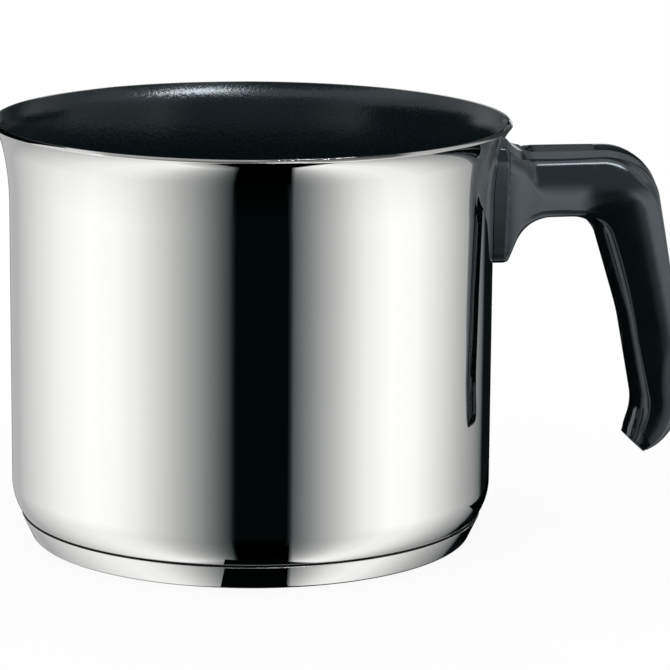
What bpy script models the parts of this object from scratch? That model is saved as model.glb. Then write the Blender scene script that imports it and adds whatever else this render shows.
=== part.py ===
"""Small milk pan: a deep-drawn steel vessel with a flared pouring rim, a black non-stick lining,
a capsule base with an aluminium core, and a hook-shaped moulded side handle on a steel bracket.

Frame: origin at the centre of the underside, +Z up, the handle reaches out along +X.
"""

import math

import bmesh
import bpy
from mathutils import Vector

# Driving dimensions in metres: the vessel
WALL_RADIUS = 0.0710
PAN_HEIGHT = 0.1236
STEEL_THICKNESS = 0.0009
LINING_THICKNESS = 0.0004
BODY_LIFT = 0.0036
CORNER_RADIUS = 0.0160
CORNER_TURN = math.radians(38.6)
HEEL_RADIUS = 0.0090
FLARE_RADIUS = 0.0800
FLARE_TURN = math.radians(12.7)
LIP_RADIUS = 0.0146
LIP_TURN = math.radians(28.9)
LINING_EDGE_SETBACK = 0.0005

# Driving dimensions: the capsule base
CAP_HEIGHT = 0.0070
CAP_THICKNESS = 0.0005
CAP_EDGE_CLEARANCE = 0.0003
CAP_TAPER = 0.0028
CAP_FOOT_ROUNDING = 0.0014
CORE_MARGIN = 0.0030
CORE_EDGE_CHAMFER = 0.0010
GROOVE_RADIUS_SHARES = (0.458, 0.824)
GROOVE_WIDTH = 0.0016
GROOVE_DEPTH = 0.0002

# Driving dimensions: the handle's side view. The handle hangs from the rim and stands on the wall,
# so that it stays with the vessel. Its grip is a share of the pan's height long.
SEAT_SINK = 0.0020
ARM_DROP = 0.0096
ARM_THICKNESS = 0.0198
CREST_REACH = 0.0029
CREST_RISE = 0.0044
CREST_ROUNDING = 0.0006
RAMP_RUN = 0.0037
FOOT_THICKNESS = 0.0048
FOOT_LENGTH = 0.0130
THROAT_RUN = 0.0057
KNUCKLE_REACH = 0.0486
CROOK_THICKNESS = 0.0187
PALM_LENGTH_SHARE = 0.485
PALM_LEAN = 0.0106
FINGER_RISE = 0.0095
GRIP_THICKNESS = 0.0199
TAIL_LENGTH = 0.0272
TAIL_LEAN = 0.0003
HOOK_RISE = 0.0081
HOOK_THICKNESS = 0.0143
TIP_FALL = 0.0056
TIP_INSET = 0.0116
BEAK_RISE = 0.0047
BEAK_THICKNESS = 0.0051

# How much of the shorter run beside it each bend of the handle takes
CREST_BEND_SHARE = 0.10
RAMP_BEND_SHARE = 0.57
KNUCKLE_BEND_SHARE = 0.344
PALM_BEND_SHARE = 0.21
TAIL_BEND_SHARE = 0.81
FOOT_BEND_SHARE = 0.16
THROAT_BEND_SHARE = 0.56
CROOK_BEND_SHARE = 0.345
FINGER_BEND_SHARE = 0.13
HOOK_BEND_SHARE = 0.45

# Driving dimensions: the handle's cross-section
PAD_HALF_WIDTH = 0.0116
WAIST_HALF_WIDTH = 0.0098
ARM_HALF_WIDTH = 0.0104
GRIP_HALF_WIDTH = 0.0100
TAIL_HALF_WIDTH = 0.0090
DECK_HALF_WIDTH = 0.0068
DECK_DEPTH = 0.0022
SHOULDER_INSET = 0.0014
SHOULDER_DEPTH = 0.0058
CROWN_HALF_WIDTH = 0.0032
CROWN_DEPTH_SHARE = 0.41
BELLY_INSET = 0.0040
BELLY_DEPTH = 0.0032
FINGER_FLAT_HALF_WIDTH = 0.0044
FINGER_BEVEL_INSET = 0.0008
FINGER_BEVEL_DEPTH = 0.0017
FINGER_SIDE_DEPTH = 0.0026

# Driving dimensions: the bracket, the screw and its washer
PLATE_THICKNESS = 0.0012
PLATE_WIDTH = 0.0160
PLATE_ABOVE = 0.0050
PLATE_BELOW = 0.0180
PLATE_HEIGHT_SHARES = (0.0, 0.61, 0.83, 1.0)
TONGUE_WIDTH = 0.0120
TONGUE_THICKNESS = 0.0020
TONGUE_DROP = 0.0100
TONGUE_END = 0.0037
SCREW_REACH = 0.0190
SCREW_POINT = 0.0020
SHANK_RADIUS = 0.0020
HEAD_RADIUS = 0.0036
HEAD_THICKNESS = 0.0022
HEAD_CHAMFER = 0.0005
RECESS_LENGTH = 0.0042
RECESS_WIDTH = 0.0009
RECESS_DEPTH = 0.0012
WASHER_RIM = 0.0002
WASHER_THICKNESS = 0.0008
COUNTERBORE_DEPTH = 0.0042

# Clearance between pieces that touch
GAP = 0.0003
# How far a cutter reaches past the surface that it opens
OVERSHOOT = 0.0050

# Facets, and how near two points on the axis are merged
MERGE_DISTANCE = 0.00003
TURN_STEPS = 60
SCREW_STEPS = 24
PLATE_STEPS = 6
ARC_STEPS = 3
CORNER_ARC_STEPS = 4
BEND_STEPS = (2, 6, 9, 3, 8)
RUN_SHARES = ((0.7,), (0.5,), (0.06, 0.5, 0.94), (0.33, 0.67), (0.5,), (0.5,))
SECTION_STEPS = 4
SMOOTH_ANGLE = math.radians(32.0)

# The handle's corners are numbered along it. A bend takes this much on each side of its number.
FOOT, THROAT, KNUCKLE, PALM, TAIL, TIP = range(1, 7)
HALF_BEND = 0.25
DECK_RISE_SHARE = 0.03
DECK_FADE_SHARE = 0.2
DECK_START = THROAT + HALF_BEND
DECK_FULL = DECK_START + DECK_RISE_SHARE
DECK_FADE = KNUCKLE - DECK_FADE_SHARE

# Places that follow from the sizes
ARM_TOP = PAN_HEIGHT - ARM_DROP
ARM_UNDERSIDE = ARM_TOP - ARM_THICKNESS
TONGUE_HEIGHT = ARM_TOP - TONGUE_DROP
SCREW_PLACE = WALL_RADIUS + SCREW_REACH
TONGUE_TIP = SCREW_PLACE + SHANK_RADIUS + GAP + TONGUE_END
WASHER_RADIUS = HEAD_RADIUS + WASHER_RIM


def clear_scene():
    for old in list(bpy.data.objects):
        bpy.data.objects.remove(old, do_unlink=True)


def material(name, colour, roughness, metallic):
    finish = bpy.data.materials.new(name)
    finish.use_nodes = True
    finish.diffuse_color = (*colour, 1.0)
    shader = finish.node_tree.nodes["Principled BSDF"]
    shader.inputs["Base Color"].default_value = (*colour, 1.0)
    shader.inputs["Roughness"].default_value = roughness
    shader.inputs["Metallic"].default_value = metallic
    return finish


def add_object(name, mesh, finish=None):
    part = bpy.data.objects.new(name, mesh)
    bpy.context.collection.objects.link(part)
    if finish:
        mesh.materials.append(finish)
    return part


def hide_cutter(cutter):
    cutter.hide_render = True
    cutter.display_type = "WIRE"


def combine(part, other, operation):
    """Add or cut away another closed shape, which is then kept only as a guide."""
    change = part.modifiers.new(other.name, "BOOLEAN")
    change.operation = operation
    change.solver = "EXACT"
    change.object = other
    hide_cutter(other)


def arc(centre, radius, start, end, steps):
    """Points of an arc in the (reach, height) plane, both ends included."""
    angles = [start + (end - start) * step / steps for step in range(steps + 1)]
    return [(centre[0] + radius * math.cos(a), centre[1] + radius * math.sin(a)) for a in angles]


def offset_path(points, distance):
    """The path moved to its left by distance, each point along the bisector of its two runs."""
    moved = []
    for index, point in enumerate(points):
        here = Vector(point)
        before = Vector(points[max(index - 1, 0)])
        after = Vector(points[min(index + 1, len(points) - 1)])
        into = (here - before).normalized() if index else (after - here).normalized()
        out = (after - here).normalized() if after != here else into
        tangent = (into + out).normalized()
        left = Vector((-tangent.y, tangent.x))
        place = here + left * (distance / into.dot(tangent))
        moved.append((max(place.x, 0.0), place.y))
    return moved


def lathe(name, profile, finish=None, steps=TURN_STEPS):
    """Turn a profile that starts and ends on the Z axis into one closed body."""
    build = bmesh.new()
    corners = [build.verts.new((reach, 0.0, height)) for reach, height in profile]
    edges = [build.edges.new(pair) for pair in zip(corners, corners[1:])]
    bmesh.ops.spin(
        build,
        geom=corners + edges,
        cent=(0.0, 0.0, 0.0),
        axis=(0.0, 0.0, 1.0),
        angle=math.tau,
        steps=steps,
        use_merge=True,
    )
    bmesh.ops.remove_doubles(build, verts=build.verts, dist=MERGE_DISTANCE)
    return finish_mesh(name, build, finish)


def finish_mesh(name, build, finish):
    """Turn the faces outwards, shade round faces smooth and make the object."""
    bmesh.ops.recalc_face_normals(build, faces=build.faces)
    mesh = bpy.data.meshes.new(name)
    build.to_mesh(mesh)
    build.free()
    mesh.shade_smooth()
    mesh.set_sharp_from_angle(angle=SMOOTH_ANGLE)
    return add_object(name, mesh, finish)


def loft(name, rings, finish=None):
    """Skin closed rings of equal length into one capped body."""
    build = bmesh.new()
    loops = [[build.verts.new(point) for point in ring] for ring in rings]
    for low, high in zip(loops, loops[1:]):
        for index, corner in enumerate(low):
            following = (index + 1) % len(low)
            build.faces.new((corner, low[following], high[following], high[index]))
    build.faces.new(loops[0][::-1])
    build.faces.new(loops[-1])
    return finish_mesh(name, build, finish)


def box(name, low, high):
    """A closed box between two opposite corners."""
    ring = [(low[0], low[1]), (high[0], low[1]), (high[0], high[1]), (low[0], high[1])]
    return loft(name, [[(x, y, height) for x, y in ring] for height in (low[2], high[2])])


def rod(name, reach, bottom, top, radius):
    """A closed upright cylinder on the handle's middle plane."""
    angles = [math.tau * step / SCREW_STEPS for step in range(SCREW_STEPS)]
    ring = [(reach + radius * math.cos(a), radius * math.sin(a)) for a in angles]
    return loft(name, [[(x, y, height) for x, y in ring] for height in (bottom, top)])


def body_outline():
    """The vessel's outer side from the axis at the bottom up to the edge of the lip."""
    corner_centre = (
        WALL_RADIUS - CORNER_RADIUS,
        BODY_LIFT + HEEL_RADIUS + (CORNER_RADIUS - HEEL_RADIUS) * math.sin(CORNER_TURN),
    )
    heel_shift = CORNER_RADIUS - HEEL_RADIUS
    heel_centre = (
        corner_centre[0] + heel_shift * math.cos(CORNER_TURN),
        corner_centre[1] - heel_shift * math.sin(CORNER_TURN),
    )
    heel = arc(heel_centre, HEEL_RADIUS, -math.pi / 2, -CORNER_TURN, CORNER_ARC_STEPS)
    corner = arc(corner_centre, CORNER_RADIUS, -CORNER_TURN, 0.0, CORNER_ARC_STEPS)
    full_turn = FLARE_TURN + LIP_TURN
    lip_rise = LIP_RADIUS * (math.sin(full_turn) - math.sin(FLARE_TURN))
    flare_start = PAN_HEIGHT - lip_rise - FLARE_RADIUS * math.sin(FLARE_TURN)
    flare_centre = (WALL_RADIUS + FLARE_RADIUS, flare_start)
    flare = arc(flare_centre, FLARE_RADIUS, math.pi, math.pi - FLARE_TURN, ARC_STEPS)
    lip_centre = (
        flare_centre[0] - (FLARE_RADIUS - LIP_RADIUS) * math.cos(FLARE_TURN),
        flare_centre[1] + (FLARE_RADIUS - LIP_RADIUS) * math.sin(FLARE_TURN),
    )
    lip = arc(lip_centre, LIP_RADIUS, math.pi - FLARE_TURN, math.pi - full_turn, ARC_STEPS)
    return [(0.0, BODY_LIFT)] + heel + corner[1:] + flare + lip[1:]


def shell_profile(outer, thickness):
    """A closed shell's turned profile: up the inner side, over the edge, down the outer side."""
    return offset_path(outer, thickness) + outer[::-1]


def build_vessel(finish):
    return lathe("pan_body", shell_profile(body_outline(), STEEL_THICKNESS), finish)


def build_lining(finish):
    """The coating covers the whole inner side and stops just short of the lip's edge."""
    outer = offset_path(body_outline(), STEEL_THICKNESS + GAP)
    edge = Vector(outer[-1])
    back = (Vector(outer[-2]) - edge).normalized() * LINING_EDGE_SETBACK
    outer[-1] = tuple(edge + back)
    return lathe("nonstick_lining", shell_profile(outer, LINING_THICKNESS), finish)


def cap_edge_radius():
    """The capsule's edge stands just clear of the vessel's rounded corner."""
    return reach_at(body_outline(), CAP_HEIGHT) + CAP_EDGE_CLEARANCE + CAP_THICKNESS


def cap_outline(groove_shares):
    """The capsule's outer side from the axis on the underside up to its top edge."""
    edge = cap_edge_radius()
    foot = edge - CAP_TAPER
    path = [(0.0, 0.0)]
    for share in groove_shares:
        radius = foot * share
        path += [
            (radius - GROOVE_WIDTH / 2, 0.0),
            (radius, GROOVE_DEPTH),
            (radius + GROOVE_WIDTH / 2, 0.0),
        ]
    side = math.atan2(CAP_TAPER, CAP_HEIGHT - CAP_FOOT_ROUNDING)
    foot_centre = (foot - CAP_FOOT_ROUNDING, CAP_FOOT_ROUNDING)
    path += arc(foot_centre, CAP_FOOT_ROUNDING, -math.pi / 2, -side, ARC_STEPS)
    path.append((edge, CAP_HEIGHT))
    return path


def build_cap(finish):
    """The grooves are rolled into the underside only, so the inner floor is plain."""
    inner = offset_path(cap_outline(()), CAP_THICKNESS)
    return lathe("base_cap", inner + cap_outline(GROOVE_RADIUS_SHARES)[::-1], finish)


def build_core(finish):
    """The heat-spreading disc lies between the capsule's floor and the vessel."""
    bottom = CAP_THICKNESS + GAP
    top = BODY_LIFT - GAP
    radius = cap_edge_radius() - CAP_TAPER - CORE_MARGIN
    profile = [
        (0.0, top),
        (radius, top),
        (radius, bottom + CORE_EDGE_CHAMFER),
        (radius - CORE_EDGE_CHAMFER, bottom),
        (0.0, bottom),
    ]
    return lathe("base_core", profile, finish)


def rounded_path(corners):
    """A side-view curve with its bends rounded, as (station, reach, height).

    Corner k is rounded over HALF_BEND on each side of station k, so two curves with the same
    number of corners pair off point by point.
    """
    spots = [Vector(corner[:2]) for corner in corners]
    points = [(0.0, *spots[0])]
    last = spots[0]
    for k in range(1, len(corners) - 1):
        into = (spots[k] - spots[k - 1]).normalized()
        out = (spots[k + 1] - spots[k]).normalized()
        shorter = min((spots[k] - spots[k - 1]).length, (spots[k + 1] - spots[k]).length)
        tangent = shorter * corners[k][2]
        half_turn = into.angle(out) / 2
        start = spots[k] - into * tangent
        centre = spots[k] + (out - into).normalized() * (tangent / math.sin(half_turn))
        station = k - 1 + HALF_BEND if k > 1 else 0.0
        points += run_points(last, start, station, k - HALF_BEND, RUN_SHARES[k - 1])
        points += bend_points(centre, start, into, out, k, BEND_STEPS[k - 1])
        last = spots[k] + out * tangent
    end = len(corners) - 1
    points += run_points(last, spots[-1], end - 1 + HALF_BEND, end, RUN_SHARES[end - 1])
    points.append((float(end), *spots[-1]))
    return points


def run_points(start, end, first, final, shares):
    """Stations inside a straight run, at shares of its length."""
    return [(first + (final - first) * share, *start.lerp(end, share)) for share in shares]


def bend_points(centre, start, into, out, k, steps):
    """Stations round a bend, from its start to its end."""
    turn = math.atan2(into.x * out.y - into.y * out.x, into.dot(out))
    arm = start - centre
    points = []
    for step in range(steps + 1):
        share = step / steps
        angle = turn * share
        spot = centre + Vector(
            (
                arm.x * math.cos(angle) - arm.y * math.sin(angle),
                arm.x * math.sin(angle) + arm.y * math.cos(angle),
            )
        )
        points.append((k + HALF_BEND * (2 * share - 1), *spot))
    return points


def blend(knots, station):
    """Straight-line interpolation between (station, value) knots."""
    if station <= knots[0][0]:
        return knots[0][1]
    for (start, low), (end, high) in zip(knots, knots[1:]):
        if station <= end:
            return low + (high - low) * (station - start) / (end - start)
    return knots[-1][1]


def handle_corners():
    """The finger side and the palm side of the handle, as (reach, height, bend share) corners."""
    seat = WALL_RADIUS - SEAT_SINK
    foot = WALL_RADIUS + FOOT_THICKNESS
    foot_bottom = ARM_UNDERSIDE - FOOT_LENGTH
    crest = WALL_RADIUS + CREST_REACH
    crest_top = ARM_TOP + CREST_RISE
    knuckle = WALL_RADIUS + KNUCKLE_REACH
    palm = knuckle + PALM_LEAN
    palm_height = ARM_TOP - PAN_HEIGHT * PALM_LENGTH_SHARE
    tail = palm + TAIL_LEAN
    tail_height = palm_height - TAIL_LENGTH
    tip = tail - TIP_INSET
    tip_height = tail_height - TIP_FALL
    inner = [
        (seat, foot_bottom, 0.0),
        (foot, foot_bottom, FOOT_BEND_SHARE),
        (foot + THROAT_RUN, ARM_UNDERSIDE, THROAT_BEND_SHARE),
        (knuckle - CROOK_THICKNESS, ARM_UNDERSIDE, CROOK_BEND_SHARE),
        (palm - GRIP_THICKNESS, palm_height + FINGER_RISE, FINGER_BEND_SHARE),
        (tail - HOOK_THICKNESS, tail_height + HOOK_RISE, HOOK_BEND_SHARE),
        (tip - BEAK_THICKNESS, tip_height + BEAK_RISE, 0.0),
    ]
    outer = [
        (seat, crest_top + CREST_ROUNDING, 0.0),
        (crest, crest_top, CREST_BEND_SHARE),
        (crest + RAMP_RUN, ARM_TOP, RAMP_BEND_SHARE),
        (knuckle, ARM_TOP, KNUCKLE_BEND_SHARE),
        (palm, palm_height, PALM_BEND_SHARE),
        (tail, tail_height, TAIL_BEND_SHARE),
        (tip, tip_height, 0.0),
    ]
    return inner, outer


def mix(first, second, share):
    return [
        (a[0] + (b[0] - a[0]) * share, a[1] + (b[1] - a[1]) * share) for a, b in zip(first, second)
    ]


def quarter(flat, half, depth, steps):
    """A rounded corner as (across, depth) points, from the flat to the side."""
    angles = [math.pi / 2 * step / steps for step in range(steps + 1)]
    return [
        (flat + (half - flat) * math.sin(a), depth * (1.0 - math.cos(a))) for a in angles
    ]


def palm_corner(half, station, span):
    """The raised deck of the arm, with its shoulder, fading into the round back of the grip.

    The span is how far the two sides are apart here; the crown takes its share of that.
    """
    shoulder = half - SHOULDER_INSET
    deck = blend(((DECK_START, shoulder), (DECK_FULL, DECK_HALF_WIDTH)), station)
    below = quarter(shoulder, half, SHOULDER_DEPTH, SECTION_STEPS)
    stepped = [(deck, 0.0)] + [(across, depth + DECK_DEPTH) for across, depth in below]
    rounded = quarter(CROWN_HALF_WIDTH, half, span * CROWN_DEPTH_SHARE, SECTION_STEPS + 1)
    return mix(stepped, rounded, blend(((DECK_FADE, 0.0), (KNUCKLE + HALF_BEND, 1.0)), station))


def finger_corner(half, station):
    """The rounded underside of the arm, turning into the bevelled finger side of the grip."""
    belly = quarter(half - BELLY_INSET, half, BELLY_DEPTH, SECTION_STEPS)
    bevel_edge = half - FINGER_BEVEL_INSET
    bevel = []
    for step in range(SECTION_STEPS):
        share = step / (SECTION_STEPS - 1)
        across = FINGER_FLAT_HALF_WIDTH + (bevel_edge - FINGER_FLAT_HALF_WIDTH) * share
        bevel.append((across, FINGER_BEVEL_DEPTH * share))
    bevel.append((half, FINGER_SIDE_DEPTH))
    share = blend(((KNUCKLE - HALF_BEND, 0.0), (KNUCKLE + HALF_BEND, 1.0)), station)
    return mix(belly, bevel, share)


def handle_half_width(station):
    return blend(
        (
            (FOOT - HALF_BEND, PAD_HALF_WIDTH),
            (FOOT + HALF_BEND, WAIST_HALF_WIDTH),
            (THROAT + HALF_BEND, ARM_HALF_WIDTH),
            (KNUCKLE + HALF_BEND, GRIP_HALF_WIDTH),
            (TAIL, GRIP_HALF_WIDTH),
            (TIP, TAIL_HALF_WIDTH),
        ),
        station,
    )


def handle_ring(inner, outer, station):
    """One closed cross-section between a point of the inner and of the outer curve."""
    half = handle_half_width(station)
    span = (outer - inner).length
    across_depth = (outer - inner) / span
    side = [(across, inner + across_depth * depth) for across, depth in finger_corner(half, station)]
    back = palm_corner(half, station, span)
    palm = [(across, outer - across_depth * depth) for across, depth in back]
    side += palm[::-1]
    near = [(spot.x, -across, spot.y) for across, spot in side]
    far = [(spot.x, across, spot.y) for across, spot in side]
    return near + far[::-1]


def reach_at(path, height):
    """How far a rising path stands from the axis at a height."""
    knots = [(up, out) for out, up in path if up > path[0][1]]
    return blend(knots, height)


def build_handle(finish, vessel_side):
    inner_path, outer_path = map(rounded_path, handle_corners())
    rings = [
        handle_ring(Vector(inner[1:]), Vector(outer[1:]), inner[0])
        for inner, outer in zip(inner_path, outer_path)
    ]
    handle = loft("handle", rings, finish)
    combine(handle, vessel_side, "DIFFERENCE")
    plate_bottom, plate_top = plate_heights()[0], plate_heights()[-1]
    pocket_back = reach_at(body_outline(), plate_top) + GAP + PLATE_THICKNESS + GAP
    plate_half = PLATE_WIDTH / 2 + GAP
    tongue_half = TONGUE_WIDTH / 2 + GAP
    slot_half = TONGUE_THICKNESS / 2 + GAP
    bore_ceiling = ARM_UNDERSIDE + COUNTERBORE_DEPTH
    cutters = (
        box(
            "plate_pocket",
            (WALL_RADIUS - OVERSHOOT, -plate_half, plate_bottom - GAP),
            (pocket_back, plate_half, plate_top + GAP),
        ),
        box(
            "tongue_slot",
            (WALL_RADIUS, -tongue_half, TONGUE_HEIGHT - slot_half),
            (TONGUE_TIP + GAP, tongue_half, TONGUE_HEIGHT + slot_half),
        ),
        rod("head_bore", SCREW_PLACE, ARM_UNDERSIDE - OVERSHOOT, bore_ceiling, WASHER_RADIUS + GAP),
        rod("shank_bore", SCREW_PLACE, ARM_UNDERSIDE, screw_top() + GAP, SHANK_RADIUS + GAP),
    )
    for cutter in cutters:
        combine(handle, cutter, "DIFFERENCE")
    return handle


def plate_heights():
    """Heights at which the bracket's plate follows the vessel."""
    bottom = TONGUE_HEIGHT - PLATE_BELOW
    top = TONGUE_HEIGHT + PLATE_ABOVE
    return [bottom + (top - bottom) * share for share in PLATE_HEIGHT_SHARES]


def screw_top():
    return TONGUE_HEIGHT + TONGUE_THICKNESS / 2 + SCREW_POINT


def build_vessel_side():
    """The vessel's outer side with its clearance, as the shape that seats the handle."""
    side = offset_path(body_outline(), -GAP)
    top = (0.0, side[-1][1] + OVERSHOOT)
    above = (side[-1][0] + OVERSHOOT, side[-1][1] + OVERSHOOT)
    cutter = lathe("vessel_side", [top, above] + side[::-1])
    hide_cutter(cutter)
    return cutter


def build_bracket(finish):
    """A plate that follows the wall and the flare, with a drilled tongue that stands out from it."""
    side = offset_path(body_outline(), -GAP)
    back = [(reach_at(side, height), height) for height in plate_heights()]
    front = [(reach + PLATE_THICKNESS, height) for reach, height in back]
    spread = math.asin(PLATE_WIDTH / 2 / WALL_RADIUS)
    rings = []
    for step in range(PLATE_STEPS + 1):
        angle = spread * (2 * step / PLATE_STEPS - 1)
        outline = back + front[::-1]
        rings.append([(r * math.cos(angle), r * math.sin(angle), z) for r, z in outline])
    bracket = loft("handle_bracket", rings, finish)
    tongue = box(
        "tongue",
        (WALL_RADIUS + PLATE_THICKNESS, -TONGUE_WIDTH / 2, TONGUE_HEIGHT - TONGUE_THICKNESS / 2),
        (TONGUE_TIP, TONGUE_WIDTH / 2, TONGUE_HEIGHT + TONGUE_THICKNESS / 2),
    )
    combine(bracket, tongue, "UNION")
    low = TONGUE_HEIGHT - TONGUE_THICKNESS
    high = TONGUE_HEIGHT + TONGUE_THICKNESS
    combine(bracket, rod("thread_hole", SCREW_PLACE, low, high, SHANK_RADIUS + GAP), "DIFFERENCE")
    return bracket


def build_screw(finish):
    """A machine screw driven up from the underside of the arm, with a crossed recess."""
    head_top = ARM_UNDERSIDE + COUNTERBORE_DEPTH - GAP - WASHER_THICKNESS - GAP
    head_bottom = head_top - HEAD_THICKNESS
    profile = [
        (0.0, screw_top()),
        (SHANK_RADIUS, screw_top()),
        (SHANK_RADIUS, head_top),
        (HEAD_RADIUS, head_top),
        (HEAD_RADIUS, head_bottom + HEAD_CHAMFER),
        (HEAD_RADIUS - HEAD_CHAMFER, head_bottom),
        (0.0, head_bottom),
    ]
    screw = lathe("handle_screw", profile, finish, SCREW_STEPS)
    screw.location.x = SCREW_PLACE
    low = head_bottom - OVERSHOOT
    high = head_bottom + RECESS_DEPTH
    long = RECESS_LENGTH / 2
    narrow = RECESS_WIDTH / 2
    for name, along, across in (("recess_a", long, narrow), ("recess_b", narrow, long)):
        recess = box(name, (SCREW_PLACE - along, -across, low), (SCREW_PLACE + along, across, high))
        combine(screw, recess, "DIFFERENCE")
    return screw


def build_washer(finish):
    top = ARM_UNDERSIDE + COUNTERBORE_DEPTH - GAP
    bottom = top - WASHER_THICKNESS
    washer = rod("screw_washer", SCREW_PLACE, bottom, top, WASHER_RADIUS)
    washer.data.materials.append(finish)
    hole = rod("washer_hole", SCREW_PLACE, bottom - GAP, top + GAP, SHANK_RADIUS + GAP)
    combine(washer, hole, "DIFFERENCE")
    return washer


def main():
    clear_scene()
    mirror_steel = material("mirror_steel", (0.62, 0.62, 0.61), 0.07, 1.0)
    coating = material("nonstick_coating", (0.012, 0.014, 0.015), 0.35, 0.0)
    aluminium = material("pressed_aluminium", (0.72, 0.73, 0.74), 0.35, 1.0)
    bracket_steel = material("bracket_steel", (0.48, 0.48, 0.47), 0.35, 1.0)
    moulding = material("black_moulding", (0.012, 0.014, 0.016), 0.18, 0.0)
    zinc = material("zinc_plate", (0.55, 0.56, 0.58), 0.30, 1.0)
    build_vessel(mirror_steel)
    build_lining(coating)
    build_core(aluminium)
    build_cap(mirror_steel)
    build_bracket(bracket_steel)
    build_handle(moulding, build_vessel_side())
    build_screw(zinc)
    build_washer(zinc)


main()
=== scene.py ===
"""Looks of a small milk pan, laid out as a Blender add-on and run as a script.

The vessel, its lining, the capsule base and the handle are turned or lofted again from the
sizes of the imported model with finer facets, and every piece gets the finish of the real one.
"""

import math

import bmesh
import bpy
from mathutils import Matrix, Vector


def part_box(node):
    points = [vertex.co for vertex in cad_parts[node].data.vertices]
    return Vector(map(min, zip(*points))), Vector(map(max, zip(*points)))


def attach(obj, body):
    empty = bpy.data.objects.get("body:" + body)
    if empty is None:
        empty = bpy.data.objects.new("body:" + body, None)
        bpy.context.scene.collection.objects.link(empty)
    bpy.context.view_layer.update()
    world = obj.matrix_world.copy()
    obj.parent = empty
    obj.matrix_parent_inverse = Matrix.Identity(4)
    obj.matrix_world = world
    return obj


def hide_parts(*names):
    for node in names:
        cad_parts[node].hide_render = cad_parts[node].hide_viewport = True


bl_info = {
    "name": "Milk pan looks",
    "version": (1, 0, 0),
    "blender": (4, 5, 0),
    "location": "3D View > Sidebar > Milk pan",
    "description": "Builds the fine meshes, finishes and studio of a small milk pan",
    "category": "Object",
}

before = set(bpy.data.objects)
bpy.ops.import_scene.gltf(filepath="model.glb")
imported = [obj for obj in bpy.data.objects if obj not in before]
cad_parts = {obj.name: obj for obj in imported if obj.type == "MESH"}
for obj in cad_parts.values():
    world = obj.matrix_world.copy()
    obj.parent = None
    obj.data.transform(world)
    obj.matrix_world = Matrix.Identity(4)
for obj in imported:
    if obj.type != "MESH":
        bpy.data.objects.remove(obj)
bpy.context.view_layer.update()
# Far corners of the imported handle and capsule, which two of the defaults come from
HANDLE_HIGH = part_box("handle")[1]
CAP_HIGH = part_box("base_cap")[1]

# The photograph's camera, in metres and degrees, in its own frame round the pan's axis
CAMERA_PLACE = (0.027204, -1.045241, 0.285049)
CAMERA_YAW = -0.135
CAMERA_PITCH = 12.178
CAMERA_ROLL = 0.472
FOCAL_PIXELS = 3610.87
IMAGE_PIXELS = 670
SENSOR_MM = 36.0

# Facets round the turned pieces and the bores, and along arcs and rounded edges
TURN_STEPS = 192
BORE_STEPS = 48
OUTLINE_STEPS = 16
FOOT_STEPS = 8
GROOVE_STEPS = 8
EDGE_STEPS = 4
END_STEPS = 5
# Corners closer than this become one, in metres
MERGE_DISTANCE = 0.000004
# Angles in degrees from which edges are shaded as sharp
SHARP_FROM = 32.0
HANDLE_SHARP_FROM = 24.0

# Radii of the rings in the underside, as shares of the foot's radius
GROOVE_RADIUS_SHARES = (0.458, 0.824)
# Rounding of cut edges, as shares of the sheet's thickness
LINING_EDGE_SHARE = 0.45
CAPSULE_EDGE_SHARE = 0.15
# How far the braze ring in the joint, which is also a painted shadow of the gap, stands out from
# the vessel, as a share of its width
SHADED_BRAZE_PROUD_SHARE = 0.05
# How far the handle's blank still rises from its crest to its end inside the wall
SEAT_RISE = 0.0006
# How far the cutter of the handle's seat reaches past the lip
SEAT_MARGIN = 0.005
# Length of the step at the facet's head, in times its depth
FACET_STEP_RUN = 5.0

# The handle's corners are numbered along it, and a bend takes this much on each side of its
# number. The foot is corner 1.
THROAT, KNUCKLE, PALM, TAIL, TIP = range(2, 7)
HALF_BEND = 0.25
# Where the deck on the arm starts, is full and fades into the grip
DECK_START = THROAT + HALF_BEND
DECK_FULL = DECK_START + 0.03
DECK_FADE = KNUCKLE - 0.2
# How much of the shorter run beside it each bend takes up
INNER_BEND_SHARES = (0.16, 0.56, 0.345, 0.13, 0.45)
OUTER_BEND_SHARES = (0.10, 0.57, 0.344, 0.21, 0.81)
# Facets along the handle's bends and runs, and round its cross-section
BEND_STEPS = (14, 18, 32, 8, 22)
RUN_STEPS = (48, 8, 24, 12, 4, 2)
FINGER_STEPS = 16
FLANK_STEPS = 28
SHOULDER_STEPS = 48
FADE_STEPS = 14
# Share of the deck's half width that stays flat before its crown falls away
DECK_MIDDLE_SHARE = 0.4
# Share of the grip's thickness over which it widens from its finger side
GRIP_WIDENING = 0.7
# Most of the round back's depth that its chamfer takes, and of the grip's that the bevel takes
CHAMFER_LIMIT = 0.66
BEVEL_LIMIT = 0.4
# How strongly the parting bead shows along the arm
BEAD_SHARES = ((THROAT + 0.30, 0.0), (THROAT + 0.32, 1.0), (KNUCKLE - 0.4, 1.0), (KNUCKLE, 0.0))

# Range of a noise that is stretched over the whole spread of roughness
NOISE_RANGE = (0.3, 0.7)
# How dark the grain of a worked metal gets, and how much its roughness varies
GRAIN_TONE = 0.85
GRAIN_ROUGHNESS = (0.8, 1.3)
WHITE = (1.0, 1.0, 1.0, 1.0)

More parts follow.
